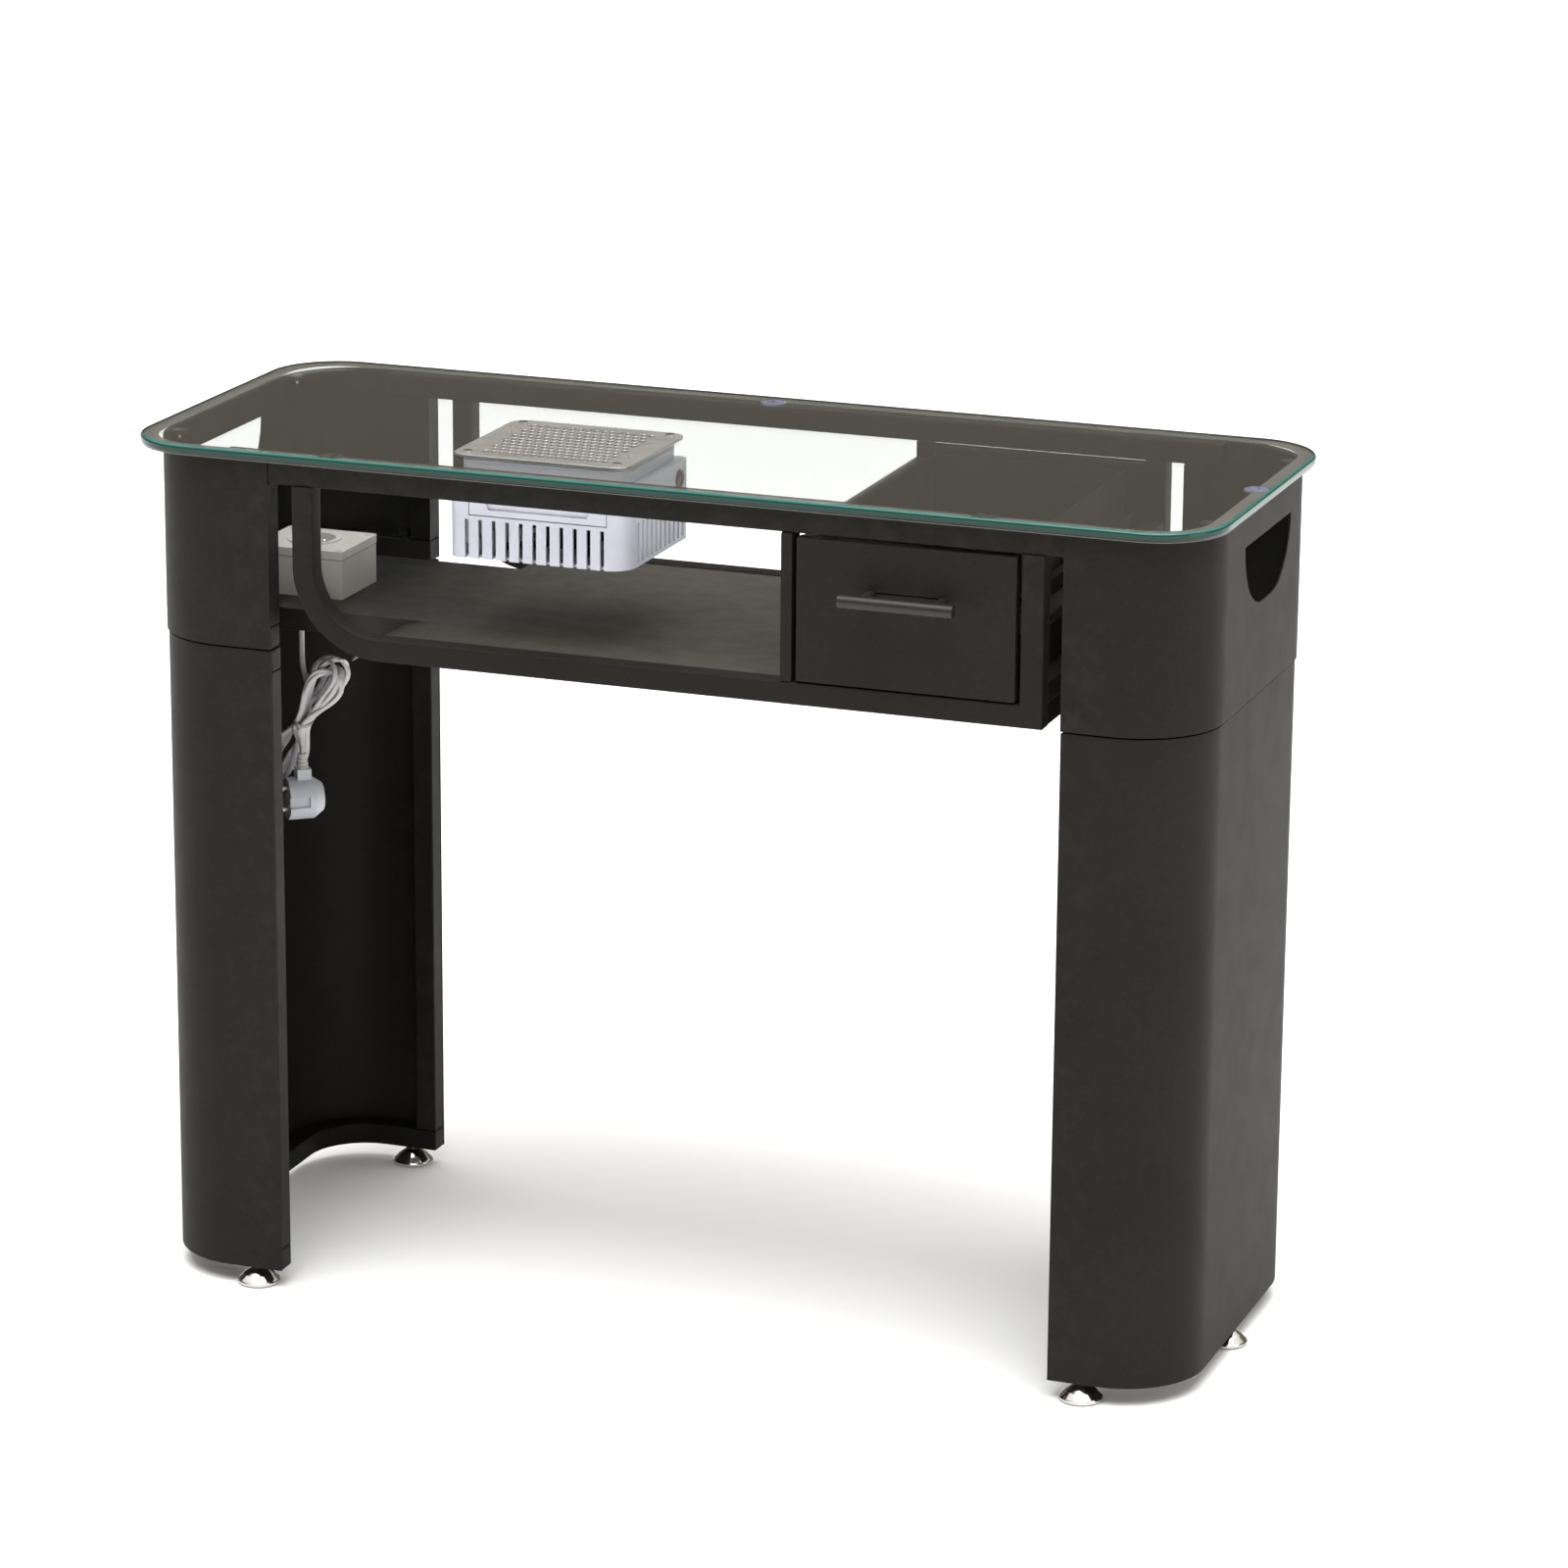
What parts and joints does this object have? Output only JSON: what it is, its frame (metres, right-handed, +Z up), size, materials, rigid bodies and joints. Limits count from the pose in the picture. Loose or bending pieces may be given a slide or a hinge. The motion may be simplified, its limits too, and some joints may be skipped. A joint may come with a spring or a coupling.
{
  "type": "manicure table",
  "caption": "Manicure table with a glass top on two curved sheet-steel legs, a hanging shelf with mains outlet, a drawer on ball slides and a built-in dust collector.",
  "frame": {"origin": "on the floor, midway between the ends and midway between the front of the drawer handle and the rear edge of the glass", "axes": "+X to the right along the table seen from the client's side where the handle is, +Y to the rear, +Z up"},
  "size_m": [1, 0.417, 0.784],
  "materials": {
    "glass": "polished clear float glass",
    "border_film": "matt",
    "clear_pad": "translucent soft plastic",
    "frame_paint": "satin black powder coat",
    "shelf_paint": "satin charcoal powder coat",
    "zinc_steel": "zinc plated",
    "chrome": "polished",
    "white_plastic": "satin",
    "perforated_steel": "brushed",
    "grey_plastic": "satin",
    "black_plastic": "matt",
    "cord_pvc": "satin",
    "plug_plastic": "satin",
    "nickel": "nickel plated",
    "filter_fleece": "fleece"
  },
  "bodies": {
    "frame": {"glass_top": "glass", "glass_edge_border": "border_film", "glass_pads": "clear_pad", "top_rails": "frame_paint", "leg_top_bands": "frame_paint", "ring_screws": "zinc_steel", "upper_leg_left": "frame_paint", "upper_leg_right": "frame_paint", "upper_leg_posts": "frame_paint", "upper_leg_rims": "frame_paint", "lower_leg_left": "frame_paint", "lower_leg_right": "frame_paint", "lower_leg_posts": "frame_paint", "lower_leg_top_rims": "frame_paint", "lower_leg_bottom_rims": "frame_paint", "leg_joint_bolts": "zinc_steel", "front_loop": "frame_paint", "rear_loop": "frame_paint", "bay_posts": "frame_paint", "bay_cross_members": "frame_paint", "bay_partition": "shelf_paint", "shelf_tray": "shelf_paint", "slide_outer_members": "zinc_steel", "foot_inserts": "zinc_steel", "outlet_box_base": "grey_plastic", "outlet_box_lid": "grey_plastic", "outlet_insert": "grey_plastic", "outlet_earth_pin": "nickel", "outlet_box_screws": "grey_plastic", "cord_gland": "black_plastic", "cord_lead": "cord_pvc", "cord_hank": "cord_pvc", "cord_tail": "cord_pvc", "cord_tie": "plug_plastic", "plug_body": "plug_plastic", "plug_pins": "nickel", "plug_strain_relief": "plug_plastic", "collector_plate": "perforated_steel", "collector_plate_screws": "chrome", "collector_neck": "white_plastic", "collector_housing": "white_plastic", "fan_motor": "black_plastic", "fan_switch_bezel": "black_plastic"},
    "slide_middle": {"slide_middle_members": "zinc_steel"},
    "drawer": {"slide_inner_members": "zinc_steel", "drawer_box": "shelf_paint", "drawer_front": "frame_paint", "drawer_handle_bar": "frame_paint", "drawer_handle_posts": "frame_paint", "drawer_handle_screws": "zinc_steel"},
    "filter": {"filter_tray": "white_plastic", "filter_pad": "filter_fleece"},
    "fan": {"fan_impeller": "black_plastic"},
    "switch": {"fan_switch_rocker": "black_plastic"},
    "foot_front_left": {"foot_front_left": "chrome"},
    "foot_rear_left": {"foot_rear_left": "chrome"},
    "foot_outer_left": {"foot_outer_left": "chrome"},
    "foot_front_right": {"foot_front_right": "chrome"},
    "foot_rear_right": {"foot_rear_right": "chrome"},
    "foot_outer_right": {"foot_outer_right": "chrome"}
  },
  "joints": [
    {"name": "drawer_slide", "type": "slide", "parent": "frame", "child": "drawer", "axis": [0, -1, 0], "range_m": [0, 0.29]},
    {"name": "middle_slide", "type": "slide", "parent": "frame", "child": "slide_middle", "axis": [0, -1, 0], "range_m": [0, 0.145]},
    {"name": "filter_slide", "type": "slide", "parent": "frame", "child": "filter", "axis": [0, -1, 0], "range_m": [0, 0.1]},
    {"name": "fan_spin", "type": "hinge", "parent": "frame", "child": "fan", "pos_m": [-0.12, -0.0555, 0.712], "axis": [0, 0, 1], "continuous": true},
    {"name": "switch_rock", "type": "hinge", "parent": "frame", "child": "switch", "pos_m": [-0.0384, -0.0055, 0.741], "axis": [0, 1, 0], "range_deg": [-16, 0]},
    {"name": "foot_front_left_level", "type": "slide", "parent": "frame", "child": "foot_front_left", "axis": [0, 0, -1], "range_m": [0, 0.01]},
    {"name": "foot_rear_left_level", "type": "slide", "parent": "frame", "child": "foot_rear_left", "axis": [0, 0, -1], "range_m": [0, 0.01]},
    {"name": "foot_outer_left_level", "type": "slide", "parent": "frame", "child": "foot_outer_left", "axis": [0, 0, -1], "range_m": [0, 0.01]},
    {"name": "foot_front_right_level", "type": "slide", "parent": "frame", "child": "foot_front_right", "axis": [0, 0, -1], "range_m": [0, 0.01]},
    {"name": "foot_rear_right_level", "type": "slide", "parent": "frame", "child": "foot_rear_right", "axis": [0, 0, -1], "range_m": [0, 0.01]},
    {"name": "foot_outer_right_level", "type": "slide", "parent": "frame", "child": "foot_outer_right", "axis": [0, 0, -1], "range_m": [0, 0.01]}
  ],
  "couplings": [
    {"joint": "middle_slide", "follows": "drawer_slide", "ratio": 0.5}
  ]
}
